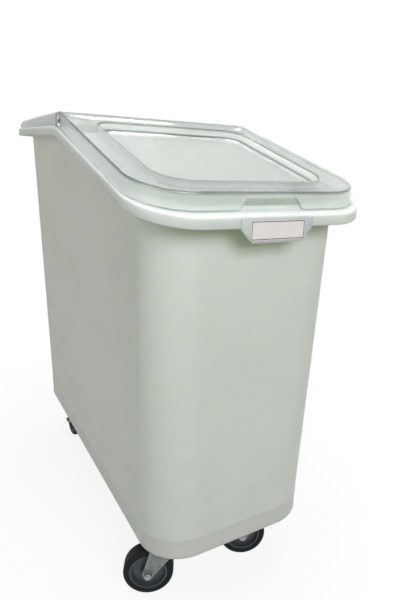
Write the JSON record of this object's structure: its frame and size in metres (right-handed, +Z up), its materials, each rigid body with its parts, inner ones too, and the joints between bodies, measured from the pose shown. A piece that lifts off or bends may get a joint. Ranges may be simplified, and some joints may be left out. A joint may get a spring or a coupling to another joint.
{
  "type": "rolling flour bin",
  "caption": "Slant-top rolling flour bin with a tapered white tub, a rolled rim, a clear hinged lid with a sunken panel, swivel front casters and fixed rear casters.",
  "frame": {"origin": "on the floor under the middle of the rim", "axes": "+Z up, -Y towards the front of the bin where the lid opens, +X to the right"},
  "size_m": [0.34, 0.7513, 0.71],
  "materials": {
    "tub_white": "satin moulded polypropylene",
    "clear_lid": "clear polycarbonate",
    "label_card": "blank laminated label",
    "zinc_steel": "zinc-plated pressed sheet",
    "bright_steel": "bright plated",
    "wheel_core": "moulded nylon",
    "tyre_rubber": "black rubber"
  },
  "bodies": {
    "bin": {"tub": "tub_white", "label_plate": "label_card", "rear_lid": "clear_lid", "hinge_pin_left": "bright_steel", "hinge_pin_right": "bright_steel", "front_left_plate": "zinc_steel", "front_left_screws": "bright_steel", "front_left_kingpin": "bright_steel", "front_right_plate": "zinc_steel", "front_right_screws": "bright_steel", "front_right_kingpin": "bright_steel", "rear_left_bracket": "zinc_steel", "rear_left_screws": "bright_steel", "rear_left_axle": "bright_steel", "rear_left_nut": "bright_steel", "rear_left_sleeve": "bright_steel", "rear_right_bracket": "zinc_steel", "rear_right_screws": "bright_steel", "rear_right_axle": "bright_steel", "rear_right_nut": "bright_steel", "rear_right_sleeve": "bright_steel"},
    "lid": {"front_lid": "clear_lid"},
    "front_left_caster": {"front_left_fork": "zinc_steel", "front_left_balls": "bright_steel", "front_left_axle": "bright_steel", "front_left_nut": "bright_steel", "front_left_sleeve": "bright_steel"},
    "front_left_wheel": {"front_left_core": "wheel_core", "front_left_tyre": "tyre_rubber"},
    "front_right_caster": {"front_right_fork": "zinc_steel", "front_right_balls": "bright_steel", "front_right_axle": "bright_steel", "front_right_nut": "bright_steel", "front_right_sleeve": "bright_steel"},
    "front_right_wheel": {"front_right_core": "wheel_core", "front_right_tyre": "tyre_rubber"},
    "rear_left_wheel": {"rear_left_core": "wheel_core", "rear_left_tyre": "tyre_rubber"},
    "rear_right_wheel": {"rear_right_core": "wheel_core", "rear_right_tyre": "tyre_rubber"}
  },
  "joints": [
    {"name": "lid_hinge", "type": "hinge", "parent": "bin", "child": "lid", "pos_m": [0, -0.005, 0.698], "axis": [-1, 0, 0], "range_deg": [0, 108]},
    {"name": "front_left_swivel", "type": "hinge", "parent": "bin", "child": "front_left_caster", "pos_m": [-0.083, -0.25, 0.09], "axis": [0, 0, 1], "continuous": true},
    {"name": "front_left_roll", "type": "hinge", "parent": "front_left_caster", "child": "front_left_wheel", "pos_m": [-0.10862, -0.23751, 0.0375], "axis": [-0.4384, -0.8988, 0], "continuous": true},
    {"name": "front_right_swivel", "type": "hinge", "parent": "bin", "child": "front_right_caster", "pos_m": [0.083, -0.25, 0.09], "axis": [0, 0, 1], "continuous": true},
    {"name": "front_right_roll", "type": "hinge", "parent": "front_right_caster", "child": "front_right_wheel", "pos_m": [0.05738, -0.23751, 0.0375], "axis": [-0.4384, -0.8988, 0], "continuous": true},
    {"name": "rear_left_roll", "type": "hinge", "parent": "bin", "child": "rear_left_wheel", "pos_m": [-0.086, 0.275, 0.0375], "axis": [1, 0, 0], "continuous": true},
    {"name": "rear_right_roll", "type": "hinge", "parent": "bin", "child": "rear_right_wheel", "pos_m": [0.086, 0.275, 0.0375], "axis": [1, 0, 0], "continuous": true}
  ]
}
